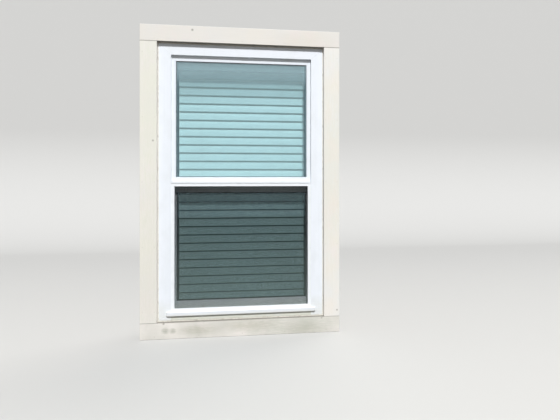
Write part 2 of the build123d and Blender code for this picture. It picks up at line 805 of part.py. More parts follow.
# Installation screws through the jambs and the head into the box
def screw(x, y, z, way):
    """Screw with its head's underside at the point, driven along the direction."""
    place = Plane(origin=(x, y, z), z_dir=way)
    with BuildPart() as body:
        with BuildSketch(place):
            RegularPolygon(screw_head_r, screw_sides)
        extrude(amount=-screw_head_t)
        with BuildSketch(place):
            RegularPolygon(screw_r, screw_sides)
        reach = half_opening - half_outer_floor if way[0] else opening_h - h_head_inner
        extrude(amount=reach + screw_bite)
    return body.part.solid()


screws = [
    screw(side * half_outer_floor, deep(screw_v), up(h), (side, 0, 0))
    for side in (-1, 1)
    for h in screw_heights
]
for side in (-1, 1):
    screws.append(screw(side * head_screw_x, deep(head_screw_v), up(h_head_inner), (0, 0, 1)))
save(Compound(screws), "installation_screws")


# Inner extension boards, from the vinyl unit to the face of the inner wall
def extension_side(side):
    with BuildPart() as board:
        with BuildSketch(Plane.XY.offset(up(h_sill_top))):
            x0 = side * half_inner_floor
            rect(x0, x0 + side * extension_t, deep(unit_depth), wall_depth)
        extrude(amount=h_head_inner - h_sill_top)
    return board.part


def extension_cross(h0):
    with BuildPart() as board:
        with BuildSketch(Plane.XY.offset(up(h0))):
            half = half_inner_floor + extension_t
            rect(-half, half, deep(unit_depth), wall_depth)
        extrude(amount=extension_t)
        fillet(board.faces().sort_by(Axis.Y)[-1].edges().filter_by(Axis.X), 1)
    return board.part


save(extension_side(-1), "extension_left")
save(extension_side(1), "extension_right")
save(extension_cross(h_head_inner), "extension_head")
save(extension_cross(h_sill_top - extension_t), "extension_stool")


# Blind behind the sashes: headrail with its valance, closed slats, bottom rail and ladder cords
channel_h0 = h_head_inner - channel_h
with BuildPart() as headrail:
    with BuildSketch(Plane.YZ.offset(-half_blind)):
        y0 = y_blind - headrail_d / 2
        rect(y0, y0 + valance_t, up(h_headrail), up(h_head_inner))
        rect(y0 + valance_t, y0 + headrail_d, up(channel_h0), up(h_head_inner))
        hollow = (y0 + valance_t + channel_wall, y0 + headrail_d - channel_wall)
        rect(*hollow, up(channel_h0 + channel_wall), up(h_head_inner - channel_wall), Mode.SUBTRACT)
    extrude(amount=2 * half_blind)
    front = headrail.faces().sort_by(Axis.Y)[0]
    fillet(front.edges().filter_by(Axis.X), valance_t * 0.4)
save(headrail.part, "blind_headrail")

tilt = math.radians(slat_angle)
slat_places = []
for k in range(slat_count):
    h = h_headrail - (k + 1) * slat_pitch + slat_w / 2 * math.sin(tilt)
    slat_places.append(
        Plane(
            origin=(-half_blind, y_blind, up(h)),
            x_dir=(0, -math.cos(tilt), -math.sin(tilt)),
            z_dir=(1, 0, 0),
        )
    )
with BuildPart() as slats:
    with BuildSketch(*slat_places):
        with BuildLine():
            s, n = slat_w / 2, slat_t / 2
            outer = ThreePointArc((-s, -n), (0, -n - slat_crown), (s, -n))
            tip = Line(outer @ 1, (s, n))
            inner = ThreePointArc(tip @ 1, (0, n - slat_crown), (-s, n))
            Line(inner @ 1, outer @ 0)
        make_face()
    extrude(amount=2 * half_blind)
save(slats.part, "blind_slats")

h_blind_rail = h_headrail - slat_count * slat_pitch - slat_clear - blind_rail_h
with BuildPart() as blind_rail:
    with BuildSketch(Plane.YZ.offset(-half_blind)):
        with Locations((y_blind, up(h_blind_rail + blind_rail_h / 2))):
            RectangleRounded(blind_rail_d, blind_rail_h, blind_rail_h * 0.3)
    extrude(amount=2 * half_blind)
save(blind_rail.part, "blind_bottom_rail")

ladder_y = slat_w / 2 * math.cos(tilt) + slat_t / 2 * math.sin(tilt) + fit + ladder_w / 2
with BuildPart() as ladders:
    with BuildSketch(Plane.XY.offset(up(h_blind_rail + blind_rail_h))):
        with Locations((0, y_blind)):
            with GridLocations(2 * ladder_at, 2 * ladder_y, 2, 2):
                Rectangle(ladder_w, ladder_w)
    extrude(amount=channel_h0 - h_blind_rail - blind_rail_h)
save(ladders.part, "blind_ladders")
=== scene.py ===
"""Looks of the vinyl sash window in its painted wood casing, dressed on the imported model."""

import math
from collections import namedtuple

import bpy
import numpy as np
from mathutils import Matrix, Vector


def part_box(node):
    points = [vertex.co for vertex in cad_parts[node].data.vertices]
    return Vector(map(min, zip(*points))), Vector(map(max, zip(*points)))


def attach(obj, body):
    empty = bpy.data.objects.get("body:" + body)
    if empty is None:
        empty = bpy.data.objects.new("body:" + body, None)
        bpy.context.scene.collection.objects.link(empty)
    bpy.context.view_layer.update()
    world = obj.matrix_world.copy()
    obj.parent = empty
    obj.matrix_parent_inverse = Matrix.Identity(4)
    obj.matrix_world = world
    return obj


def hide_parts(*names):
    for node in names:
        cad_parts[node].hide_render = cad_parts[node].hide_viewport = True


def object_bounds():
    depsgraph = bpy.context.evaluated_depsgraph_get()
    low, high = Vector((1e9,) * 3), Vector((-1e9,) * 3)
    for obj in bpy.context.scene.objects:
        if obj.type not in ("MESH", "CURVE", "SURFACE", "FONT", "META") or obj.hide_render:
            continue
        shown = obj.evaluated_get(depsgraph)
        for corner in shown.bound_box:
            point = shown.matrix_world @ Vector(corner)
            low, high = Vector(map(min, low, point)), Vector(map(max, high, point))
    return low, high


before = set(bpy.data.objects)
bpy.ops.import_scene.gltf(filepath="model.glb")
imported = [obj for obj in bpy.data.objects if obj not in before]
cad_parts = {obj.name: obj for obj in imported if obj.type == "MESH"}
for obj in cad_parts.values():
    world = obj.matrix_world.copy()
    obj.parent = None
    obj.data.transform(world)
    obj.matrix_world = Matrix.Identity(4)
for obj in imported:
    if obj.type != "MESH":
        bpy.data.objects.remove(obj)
cad_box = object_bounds()

MM = 0.001
SLAT_PITCH = 47.1  # height from one slat of the blind to the next, in millimetres
HALF_SLAT = 25.4  # half the width of a slat, in millimetres
BEAD_WIDTH = 12.0  # how far a glazing bead reaches in from its groove, in millimetres


def corners(node):
    """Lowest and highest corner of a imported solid, in millimetres."""
    low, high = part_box(node)
    return low / MM, high / MM


# Places on the facade in millimetres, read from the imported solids
inner_edge, outer_edge = (corner.x for corner in corners("casing_right"))
foot_seam, head_seam = (corner.z for corner in corners("casing_right"))
jamb_inside, jamb_outside = (corner.x for corner in corners("vinyl_jamb_right"))
face_low, face_high = (corner.z for corner in corners("vinyl_jamb_right"))
nosing_low, nosing_high = (corner.z for corner in corners("sill_nosing"))
pane_low, pane_high = (corner.z for corner in corners("upper_outer_pane"))
slats_top = corners("blind_slats")[1].z
screen_low = corners("screen_mesh")[0].z

# What the patterns are told, in millimetres on the facade. A share says how much of its shade shows.
Mark = namedtuple("Mark", "x z radius shade share")  # a round spot on a board
Stain = namedtuple("Stain", "x z radius flat shade share")  # a ragged patch, flattened in height
Weld = namedtuple("Weld", "half low high stile bottom top")  # a mitred frame and the widths of its bars
# Films: dirt on the vinyl, haze and painted light on the glass, painted light and shade on the screen yarn
Film = namedtuple("Film", "low high shade share")  # a colour laid on between two heights
# Laps of slats, from the top of the blind: where in each pitch the painted shade line starts, how wide it
# is, and how far down it stays faint
Lap = namedtuple("Lap", "top tuck line clean")


# Nodes and materials
def linear(code):
    """An sRGB hex colour as linear red, green, blue and a full alpha."""
    parts = [int(code[i : i + 2], 16) / 255 for i in (1, 3, 5)]
    return [c / 12.92 if c <= 0.04045 else ((c + 0.055) / 1.055) ** 2.4 for c in parts] + [1.0]


def add(tree, kind, *values, inputs=None, out=0, **settings):
    """A node of that kind with its settings. The values go to its first inputs in order and inputs tells
    others by name or number: a socket is linked, a hex colour turned linear. Gives back one output."""
    node = tree.nodes.new("ShaderNode" + kind)
    for key, value in settings.items():
        setattr(node, key, value)
    for key, value in {**dict(enumerate(values)), **(inputs or {})}.items():
        if isinstance(value, bpy.types.NodeSocket):
            tree.links.new(value, node.inputs[key])
        else:
            node.inputs[key].default_value = linear(value) if isinstance(value, str) else value
    return node.outputs[out]


def surface(name, colour, roughness, **sockets):
    """A new material with one colour and roughness: its tree, its shader and its Object coordinates."""
    made = bpy.data.materials.new(name)
    made.use_nodes = True
    tree = made.node_tree
    shader = tree.nodes["Principled BSDF"]
    shader.inputs["Base Color"].default_value = linear(colour)
    shader.inputs["Roughness"].default_value = roughness
    for key, value in sockets.items():
        shader.inputs[key.replace("_", " ")].default_value = value
    return made, tree, shader, add(tree, "TexCoord", out="Object")


def cloud(tree, coords, size, detail=3.0, rough=0.5):
    """Noise whose lumps are as large as size says, in millimetres along X, Y and Z."""
    scaled = add(tree, "VectorMath", coords, [1 / (s * MM) for s in size], operation="MULTIPLY")
    inputs = {"Vector": scaled, "Scale": 1.0, "Detail": detail, "Roughness": rough}
    return add(tree, "TexNoise", inputs=inputs, out="Fac")


def drawn_out(size, long, along):
    """Lump size for a cloud that is stretched along one axis, as grain and draw lines are."""
    return [long if axis == along else size for axis in range(3)]


def tinted(tree, tone, shade, pattern, low=0.0, high=1.0, share=1.0):
    """The tone with a shade laid over it: none where the pattern is low, and its share where it is high."""
    cover = add(tree, "MapRange", pattern, low, high, 0.0, share)
    return add(tree, "Mix", cover, inputs={6: tone, 7: shade}, out=2, data_type="RGBA")


def relief(tree, shader, height, depth_mm, strength=1.0):
    """Bump of a real depth in millimetres, on top of what the shader has already."""
    inputs = {"Height": height, "Distance": depth_mm * MM, "Strength": strength}
    earlier = shader.inputs["Normal"].links
    if earlier:
        inputs["Normal"] = earlier[0].from_socket
    tree.links.new(add(tree, "Bump", inputs=inputs), shader.inputs["Normal"])


def spot(tree, coords, x, z, radius, flat=1.0):
    """1 at a place on the facade falling to 0 at a radius in millimetres, flattened in height by flat."""
    place = add(tree, "VectorMath", coords, [1 / MM, 0.0, flat / MM], operation="MULTIPLY")
    reach = add(tree, "VectorMath", place, (x, 0.0, z * flat), operation="DISTANCE", out="Value")
    return add(tree, "MapRange", reach, 0.0, radius, 1.0, 0.0)


def painted_board(name, colour, along, seams=(), marks=(), stains=(), tints=("#f3eee6", "#f6ebe8")):
    """Exterior latex paint brushed over a pine casing board: soft warm and rosy tints, brush lines along
    the board and a fine dark line of painted shadow where it butts against its neighbour. Nail heads,
    knots and stains show through on the outer face only, which looks along -Y. The brush lines are about
    twice as coarse as real ones, so that they show."""
    made, tree, shader, coords = surface(name, colour, 0.5, Specular_IOR_Level=0.35)
    warm, rosy = tints
    tone = tinted(tree, colour, warm, cloud(tree, coords, (150, 150, 190)), 0.35, 0.68)
    tone = tinted(tree, tone, rosy, cloud(tree, coords, (90, 60, 120)), 0.52, 0.74, 0.55)
    brush = cloud(tree, coords, drawn_out(2.4, 170.0, along), 4.0)
    tone = tinted(tree, tone, "#dcd8ce", brush, 0.42, 0.7, 0.18)
    height = add(tree, "SeparateXYZ", coords, out="Z")
    # Painted shadow: a fine dark line in each butt joint
    for seam in seams:
        gap = add(tree, "Math", height, seam * MM, operation="SUBTRACT")
        gap = add(tree, "Math", gap, operation="ABSOLUTE")
        tone = tinted(tree, tone, "#78736a", gap, 2.2 * MM, 0.6 * MM, 0.85)
    clean = tone
    ragged = cloud(tree, coords, drawn_out(4.0, 34.0, along), 4.0, 0.65)
    for stain in stains:
        blot = spot(tree, coords, stain.x, stain.z, stain.radius, stain.flat)
        blot = add(tree, "Math", blot, ragged, operation="MULTIPLY")
        tone = tinted(tree, tone, stain.shade, blot, 0.08, 0.42, stain.share)
    for mark in marks:
        dot = spot(tree, coords, mark.x, mark.z, mark.radius)
        tone = tinted(tree, tone, mark.shade, dot, 0.15, 0.75, mark.share)
    facing = add(tree, "SeparateXYZ", coords.node.outputs["Normal"], out="Y")
    tone = tinted(tree, clean, tone, facing, -0.2, -0.6)
    tree.links.new(tone, shader.inputs["Base Color"])
    relief(tree, shader, brush, 0.12)
    relief(tree, shader, cloud(tree, coords, (26, 26, 40)), 0.25, 0.5)
    return made


def bare_pine(name, colour, dark, along):
    """Planed pine with its early and late wood in bands along the board, and a dry, matt face."""
    made, tree, shader, coords = surface(name, colour, 0.62, Specular_IOR_Level=0.3)
    bands = cloud(tree, coords, drawn_out(9.0, 420.0, along), 5.0, 0.6)
    fibre = cloud(tree, coords, drawn_out(0.7, 30.0, along), 2.0)
    tone = tinted(tree, colour, dark, bands, 0.4, 0.66)
    tone = tinted(tree, tone, "#a9865c", fibre, 0.45, 0.8, 0.35)
    tree.links.new(tone, shader.inputs["Base Color"])
    relief(tree, shader, fibre, 0.08)
    return made


def extruded_vinyl(name, colour, along, weld=None, grime=None):
    """Rigid PVC as it leaves the die: cool white, satin, with faint draw lines along the extrusion, drawn
    coarser than real ones so that they show. A weld seam crosses each corner where the bars were cut to a
    mitre: there the distance from the side, in stile widths, equals the distance from the nearer end, in
    bar widths. Rain leaves a thin film low down."""
    roughness = 0.34
    made, tree, shader, coords = surface(name, colour, roughness, IOR=1.53, Coat_Weight=0.12)
    draw = cloud(tree, coords, drawn_out(1.6, 900.0, along), 2.0)
    film = cloud(tree, coords, (60, 60, 110), 4.0)
    tone = tinted(tree, colour, "#e4e8ea", film, 0.45, 0.75, 0.5)
    tone = tinted(tree, tone, "#d3dade", draw, 0.45, 0.75, 0.18)
    height = add(tree, "SeparateXYZ", coords, out="Z")
    if weld:
        across = add(tree, "Math", add(tree, "SeparateXYZ", coords, out="X"), operation="ABSOLUTE")
        inward = add(tree, "Math", weld.half * MM, across, operation="SUBTRACT")
        upward = add(tree, "Math", height, weld.low * MM, operation="SUBTRACT")
        downward = add(tree, "Math", weld.high * MM, height, operation="SUBTRACT")
        side = add(tree, "Math", inward, weld.stile * MM, operation="DIVIDE")
        foot = add(tree, "Math", upward, weld.bottom * MM, operation="DIVIDE")
        head = add(tree, "Math", downward, weld.top * MM, operation="DIVIDE")
        nearer = add(tree, "Math", foot, head, operation="MINIMUM")
        apart = add(tree, "Math", side, nearer, operation="SUBTRACT")
        apart = add(tree, "Math", apart, operation="ABSOLUTE")
        seam = add(tree, "MapRange", apart, 0.012, 0.03, 1.0, 0.0)
        tone = tinted(tree, tone, "#b4bbc0", seam, share=0.22)
        relief(tree, shader, seam, 0.2)
    if grime:
        height_fade = add(tree, "MapRange", height, grime.low * MM, grime.high * MM, 1.0, 0.0)
        ragged = add(tree, "MapRange", cloud(tree, coords, (45, 45, 9), 4.0, 0.6), 0.3, 0.65, 0.35, 1.0)
        height_fade = add(tree, "Math", height_fade, ragged, operation="MULTIPLY")
        tone = tinted(tree, tone, grime.shade, height_fade, share=grime.share)
    tree.links.new(tone, shader.inputs["Base Color"])
    rough = add(tree, "MapRange", film, 0.35, 0.75, roughness - 0.04, roughness + 0.12)
    tree.links.new(rough, shader.inputs["Roughness"])
    relief(tree, shader, draw, 0.04)
    return made


def moulded(name, colour, roughness, grit_mm, depth_mm, worn, **sockets):
    """Plastic, rubber, foam or powder coat with the grain that its making left, which gives an even, soft
    satin: a spark-eroded mould's grit, foam cells or orange peel. The finest grits, of 0.2 mm, are drawn
    as coarse as grit_mm says so that they show."""
    made, tree, shader, coords = surface(name, colour, roughness, **sockets)
    grit = cloud(tree, coords, (grit_mm,) * 3, 2.0)
    dull = cloud(tree, coords, (18, 18, 18), 3.0)
    tree.links.new(tinted(tree, colour, worn, dull, 0.45, 0.75, 0.35), shader.inputs["Base Color"])
    rough = add(tree, "MapRange", dull, 0.3, 0.7, roughness - 0.05, roughness + 0.08)
    tree.links.new(rough, shader.inputs["Roughness"])
    relief(tree, shader, grit, depth_mm)
    return made


def rolled_metal(name, colour, roughness, along, metallic, worn):
    """Strip metal drawn through rollers, bare or enamelled: fine lines along the bar that stretch its
    highlight, drawn at 0.5 mm, coarser than real ones, so that they show."""
    made, tree, shader, coords = surface(name, colour, roughness, Metallic=metallic)
    drawn = cloud(tree, coords, drawn_out(0.5, 160.0, along), 2.0)
    dull = cloud(tree, coords, (35, 35, 35), 4.0)
    tree.links.new(tinted(tree, colour, worn, dull, 0.45, 0.75, 0.5), shader.inputs["Base Color"])
    rough = add(tree, "MapRange", drawn, 0.3, 0.7, roughness - 0.06, roughness + 0.1)
    tree.links.new(rough, shader.inputs["Roughness"])
    relief(tree, shader, drawn, 0.02)
    return made


def coated_glass(name, tint, film, low_haze, top_paling):
    """Clear float glass with a low-emissivity coat: it takes red out of what shows through, so all behind it
    goes teal, and it mirrors more than bare glass at a slant. Dust lies on it as a thin, uneven, milky film,
    thicker low down and towards the top, where the thicker film is painted light that pales the shaded
    top of the upper pane. Both of these have the film's own colour, so they come without a shade."""
    made = bpy.data.materials.new(name)
    made.use_nodes = True
    tree = made.node_tree
    tree.nodes.remove(tree.nodes["Principled BSDF"])
    coords = add(tree, "TexCoord", out="Object")
    through = add(tree, "BsdfTransparent", inputs={"Color": tint})
    gloss = add(tree, "BsdfGlossy", inputs={"Color": "#cfeaf2", "Roughness": 0.02})
    paling = add(tree, "BsdfDiffuse", inputs={"Color": "#cfe3e8"})
    bare_ior, coat_gain = 1.52, 3.2
    mirror = add(tree, "Fresnel", inputs={"IOR": bare_ior})
    mirror = add(tree, "Math", mirror, coat_gain, operation="MULTIPLY")
    front = add(tree, "Math", 1.0, add(tree, "NewGeometry", out="Backfacing"), operation="SUBTRACT")
    mirror = add(tree, "Math", mirror, front, operation="MULTIPLY")
    mirror = add(tree, "Math", mirror, 1.0, operation="MINIMUM")
    haze = cloud(tree, coords, (120, 120, 160), 5.0, 0.6)
    haze = add(tree, "MapRange", haze, 0.3, 0.75, 0.3 * film, film)
    height = add(tree, "SeparateXYZ", coords, out="Z")
    low = add(tree, "MapRange", height, low_haze.low * MM, low_haze.high * MM, low_haze.share, 0.0)
    # Painted light: the film thickens towards the top to pale the shaded top of the pane
    high = add(tree, "MapRange", height, top_paling.low * MM, top_paling.high * MM, 0.0, top_paling.share)
    haze = add(tree, "Math", haze, low, operation="ADD")
    haze = add(tree, "Math", haze, high, operation="ADD")
    base = add(tree, "MixShader", haze, through, paling)
    shader = add(tree, "MixShader", mirror, base, gloss)
    tree.links.new(shader, tree.nodes["Material Output"].inputs["Surface"])
    return made


def wire_cloth(name, colour, height_fade):
    """Woven screen cloth of coated yarn: each yarn is a dark matt thread whose colour pales towards the
    sill, a painted gradient of light and shade that is darkest in its upper part, so the cloth makes a dark
    veil over the lower half that pales downwards."""
    made, tree, shader, coords = surface(name, colour, 0.75, Specular_IOR_Level=0.15)
    height = add(tree, "SeparateXYZ", coords, out="Z")
    paling = add(tree, "MapRange", height, height_fade.high * MM, height_fade.low * MM)
    patchy = add(tree, "MapRange", cloud(tree, coords, (25, 25, 40), 4.0), 0.3, 0.7, 0.75, 1.0)
    paling = add(tree, "Math", paling, patchy, operation="MULTIPLY")
    # Painted light and shade: the yarn's colour pales towards the sill
    tone = tinted(tree, colour, height_fade.shade, paling, share=height_fade.share)
    tree.links.new(tone, shader.inputs["Base Color"])
    relief(tree, shader, cloud(tree, coords, (0.4, 0.4, 0.4), 1.0), 0.04)
    return made


def foam_slat(name, colour, lap=None):
    """Slat of foamed PVC with a printed wood grain: bright white, satin, with long shallow grain. Where
    each slat tucks under the next, a fine dark line of painted shade runs along the lap, fainter on the
    inner side and high up."""
    made, tree, shader, coords = surface(name, colour, 0.4, Specular_IOR_Level=0.4)
    grain = cloud(tree, coords, (110, 3, 1.6), 4.0, 0.6)
    tone = tinted(tree, colour, "#d9d8cf", grain, 0.45, 0.75, 0.2)
    tone = tinted(tree, tone, "#dedfda", cloud(tree, coords, (80, 30, 30)), 0.45, 0.75, 0.25)
    if lap:
        height = add(tree, "SeparateXYZ", coords, out="Z")
        fall = add(tree, "Math", lap.top * MM, height, operation="SUBTRACT")
        below = add(tree, "Math", fall, SLAT_PITCH * MM, operation="MODULO")
        below = add(tree, "Math", below, lap.tuck * MM, operation="SUBTRACT")
        shade = add(tree, "MapRange", below, 0.3 * lap.line * MM, lap.line * MM, 0.95, 0.0)
        facing = add(tree, "SeparateXYZ", coords.node.outputs["Normal"], out="Y")
        outer = add(tree, "MapRange", facing, -0.3, 0.0, 1.0, 0.4)
        fainter_up_high = add(tree, "MapRange", fall, lap.clean * MM, (lap.clean + 60.0) * MM, 0.42, 1.0)
        shade = add(tree, "Math", shade, outer, operation="MULTIPLY")
        shade = add(tree, "Math", shade, fainter_up_high, operation="MULTIPLY")
        # Painted shade: a dark line along each lap of the slats
        tone = tinted(tree, tone, "#2e3735", shade)
    tree.links.new(tone, shader.inputs["Base Color"])
    relief(tree, shader, grain, 0.06)
    return made


def braided_cord(name, colour):
    """Braided polyester cord: the diagonal strands of the braid, 1 mm apart, show as fine slanting
    lines."""
    made, tree, shader, coords = surface(name, colour, 0.8, Sheen_Weight=0.3)
    across = add(tree, "SeparateXYZ", coords, out="X")
    height = add(tree, "SeparateXYZ", coords, out="Z")
    slope = add(tree, "Math", height, across, operation="ADD")
    turns = add(tree, "Math", slope, 2 * math.pi / (1.0 * MM), operation="MULTIPLY")
    strand = add(tree, "Math", turns, operation="SINE")
    strand = add(tree, "MapRange", strand, -1.0, 1.0)
    tree.links.new(tinted(tree, "#c9c7bd", colour, strand), shader.inputs["Base Color"])
    relief(tree, shader, strand, 0.15)
    return made


def pile_strip(name):
    """Woven pile: a dense brush of silicone-treated fibre, matt, with single fibres standing out."""
    made, tree, shader, coords = surface(name, "#8c9094", 0.95, Sheen_Weight=0.5)
    fibres = cloud(tree, coords, (3.0, 0.5, 0.5), 2.0)
    tree.links.new(tinted(tree, "#6d7276", "#a6aaac", fibres, 0.35, 0.7), shader.inputs["Base Color"])
    relief(tree, shader, fibres, 0.3)
    return made


def caulk(name, colour):
    """Acrylic sealant tooled by hand: soft ripples across the bead, with grey dust in them."""
    made, tree, shader, coords = surface(name, colour, 0.6, Specular_IOR_Level=0.35)
    ripple = cloud(tree, coords, (14, 5, 14))
    tone = tinted(tree, colour, "#a8a294", ripple, 0.5, 0.75, 0.6)
    tree.links.new(tone, shader.inputs["Base Color"])
    relief(tree, shader, ripple, 0.6)
    return made


def nails(places, shade="#d2cdc1"):
    """Filled nail holes that show through the paint as faint dimples of a nail head's size."""
    return [Mark(x, z, 4.2, shade, 0.6) for x, z in places]


# Nails in two rows along the side boards, and in one row along the boards above and below. The other
# marks and the stains stand where the photograph shows them.
inner_row, outer_row = inner_edge + 10.8, outer_edge - 13.1
heights = np.linspace(foot_seam + 60.0, head_seam - 60.0, 5)
stations = np.linspace(-inner_row - 2.0, inner_row + 2.0, 5)
head_row = head_seam + 14.0
foot_row = corners("casing_bottom")[0].z + 14.5
board_left = painted_board(
    "latex_painted_pine_left", "#f0eae8", 2, (head_seam, foot_seam),
    marks=[Mark(-477.0, 1042.7, 9.0, "#8f8a7c", 0.6)]
    + nails([(-inner_row, z) for z in heights] + [(-outer_row, z) for z in heights]),
    stains=[
        Stain(-500.0, 300.0, 240.0, 0.3, "#dcdccb", 0.5),
        Stain(-480.0, 1250.0, 300.0, 0.3, "#e0e3cf", 0.5),
    ],
)
board_right = painted_board(
    "latex_painted_pine_right", "#eeefee", 2, (head_seam, foot_seam),
    marks=[Mark(532.6, 91.6, 8.0, "#857e70", 0.65)]
    + nails([(inner_row, z) for z in heights] + [(outer_row, z) for z in heights[1:]]),
    stains=[Stain(500.0, 900.0, 330.0, 0.3, "#e6e2cf", 0.5)],
)
# The head board's paint and tints are a shade darker than the side boards': painted shade that evens out the
# light it gets
board_head = painted_board(
    "latex_painted_pine_head", "#e6e3dd", 0, (head_seam,),
    marks=[Mark(-269.4, 1647.3, 10.0, "#8d8c80", 0.75)] + nails([(x, head_row) for x in stations]),
    stains=[Stain(330.0, 1600.0, 260.0, 3.0, "#dfd8cb", 0.45)], tints=("#e8e3da", "#ece1dd"),
)
board_bottom = painted_board(
    "weathered_painted_pine_bottom", "#d9d6cd", 0, (foot_seam,),
    marks=[Mark(443.9, 50.8, 9.0, "#8a8473", 0.5), Mark(-421.8, 52.0, 10.0, "#7f7a68", 0.6)]
    + nails([(x, foot_row) for x in stations], "#b9b6a8"),
    stains=[
        Stain(-411.3, 12.6, 30.0, 1.2, "#a5a797", 0.6),
        Stain(-374.6, 11.0, 26.0, 1.1, "#a3a493", 0.55),
        Stain(-240.0, 12.0, 170.0, 4.0, "#b2b19e", 0.5),
        Stain(60.0, 24.0, 230.0, 4.5, "#bcb9a5", 0.5),
        Stain(330.0, -4.0, 190.0, 3.5, "#b8b5a2", 0.5),
        Stain(300.0, 25.0, 420.0, 1.2, "#c3c5b8", 0.55),
    ],
)
box_board_side = bare_pine("planed_pine_box_upright", "#dcc7a0", "#c0a078", 2)
box_board_cross = bare_pine("planed_pine_box_across", "#dcc7a0", "#c0a078", 0)
liner_side = painted_board("satin_painted_pine_upright", "#e9e7e1", 2)
liner_cross = painted_board("satin_painted_pine_across", "#e9e7e1", 0)


def sash_weld(sash):
    """The weld of a sash whose bars reach from its edges to the inner edges of its beads."""
    low, high = corners(f"{sash}_sash")
    bead_low, bead_high = corners(f"{sash}_glazing_beads")
    stile = high.x - bead_high.x + BEAD_WIDTH
    bottom = bead_low.z - low.z + BEAD_WIDTH
    top = high.z - bead_high.z + BEAD_WIDTH
    return Weld(high.x, low.z, high.z, stile, bottom, top)


head_low, head_high = (corner.z for corner in corners("vinyl_head"))
frame_weld = Weld(
    half=jamb_outside, low=face_low, high=face_high,
    stile=jamb_outside - jamb_inside, bottom=nosing_high - face_low, top=head_high - head_low,
)
upper_weld = sash_weld("upper")
lower_weld = sash_weld("lower")
jamb_film = Film(face_low, face_low + 120.0, "#d9d8c8", 0.55)
sill_film = Film(face_low, face_low + 70.0, "#c9c7ae", 0.6)
nosing_film = Film(nosing_low, nosing_low + 12.0, "#d4d2bf", 0.5)
vinyl_side = extruded_vinyl("extruded_pvc_jamb", "#f1f5fa", 2, frame_weld, jamb_film)
vinyl_cross = extruded_vinyl("extruded_pvc_head", "#f1f5fa", 0, frame_weld)
vinyl_sill = extruded_vinyl("extruded_pvc_sill", "#e4e6df", 0, grime=sill_film)
vinyl_nosing = extruded_vinyl("extruded_pvc_nosing", "#eef1f4", 0, grime=nosing_film)
upper_vinyl = extruded_vinyl("welded_pvc_upper_sash", "#f3f7fb", 0, upper_weld)
lower_vinyl = extruded_vinyl("welded_pvc_lower_sash", "#edf4f6", 0, lower_weld)
bead_vinyl = extruded_vinyl("snap_in_pvc_bead", "#eef3f9", 0)

low_haze = Film(face_low, face_low + 640.0, None, 0.04)
# Painted light: the thicker haze at the top pales the shaded top of the upper pane
top_paling = Film(pane_high - 144.0, pane_high - 44.0, None, 0.15)
pane_glass = coated_glass("low_e_float_glass", "#f7fdfe", 0.01, low_haze, top_paling)
gasket_rubber = moulded("extruded_epdm_gasket", "#15181b", 0.5, 0.8, 0.05, "#2c3033")
spacer_foam = moulded("silicone_foam_spacer", "#1b1d20", 0.75, 1.2, 0.08, "#26292c")
# The upper spacer is the same foam as the others, painted paler: painted light on the upper pane's edges
upper_spacer_painted_lighter = moulded("foam_spacer_painted_lighter", "#98a5aa", 0.8, 1.2, 0.08, "#a9b3b7")
bead_caulk = caulk("tooled_acrylic_sealant", "#e3e0d6")
pile_wool = pile_strip("woven_pile_weatherstrip")
lock_zinc = moulded("powder_coated_zinc", "#e9ebec", 0.32, 1.4, 0.06, "#d5d8d9", Coat_Weight=0.2)
plated_steel = rolled_metal("zinc_plated_steel", "#b4b6b5", 0.36, 2, 1.0, "#8d8f8c")
balance_nylon = moulded("moulded_acetal_balance", "#d7d8d2", 0.4, 1.0, 0.05, "#bfc0b8")
latch_abs = moulded("moulded_abs_latch", "#eceeef", 0.38, 1.0, 0.05, "#d8dadb")
screen_side = rolled_metal("enamelled_aluminium_screen_upright", "#f3f6f8", 0.4, 2, 0.0, "#e2e7ea")
# The crossing bars are a touch paler than the uprights: painted light that offsets the shade on the top bar
screen_cross = rolled_metal("enamelled_aluminium_screen_across", "#f5f8fa", 0.4, 0, 0.0, "#e6ebee")
# The screen yarn's paling towards the sill is painted light and shade
yarn_painted_gradient = Film(screen_low + 80.0, screen_low + 440.0, "#56605a", 1.0)
screen_yarn = wire_cloth("charcoal_screen_yarn", "#141a18", yarn_painted_gradient)
# The slats' lap line is painted shade
slat_lap = Lap(slats_top, 2.4, 8.0, slats_top - pane_low - 34.0)
slat_foam = foam_slat("foamed_pvc_slat", "#f0f0ea", slat_lap)
rail_foam = foam_slat("foamed_pvc_rail", "#f0f0ea")
ladder_cord = braided_cord("braided_polyester_ladder", "#ecebe4")

FINISH = {
    "casing_left": board_left, "casing_right": board_right, "casing_head": board_head,
    "casing_bottom": board_bottom, "box_jamb_left": box_board_side, "box_jamb_right": box_board_side,
    "box_head": box_board_cross, "box_sill": box_board_cross, "extension_left": liner_side,
    "extension_right": liner_side, "extension_head": liner_cross, "extension_stool": liner_cross,
    "perimeter_sealant": bead_caulk, "vinyl_jamb_left": vinyl_side, "vinyl_jamb_right": vinyl_side,
    "vinyl_head": vinyl_cross, "vinyl_sill": vinyl_sill, "sill_nosing": vinyl_nosing,
    "upper_sash": upper_vinyl, "lower_sash": lower_vinyl, "bottom_bulb_seal": gasket_rubber,
    "meeting_rail_seal": pile_wool, "side_pile_left": pile_wool, "side_pile_right": pile_wool,
    "lock_base": lock_zinc, "lock_lever": lock_zinc, "lock_keeper": lock_zinc,
    "tilt_latch_left": latch_abs, "tilt_latch_right": latch_abs, "pivot_bar_left": plated_steel,
    "pivot_bar_right": plated_steel, "screen_bar_left": screen_side, "screen_bar_right": screen_side,
    "screen_bar_top": screen_cross, "screen_bar_bottom": screen_cross, "screen_corner_keys": balance_nylon,
    "screen_mesh": screen_yarn, "screen_spline": gasket_rubber, "screen_pull_tabs": balance_nylon,
    "installation_screws": plated_steel, "blind_headrail": rail_foam, "blind_slats": slat_foam,
    "blind_bottom_rail": rail_foam, "blind_ladders": ladder_cord,
}
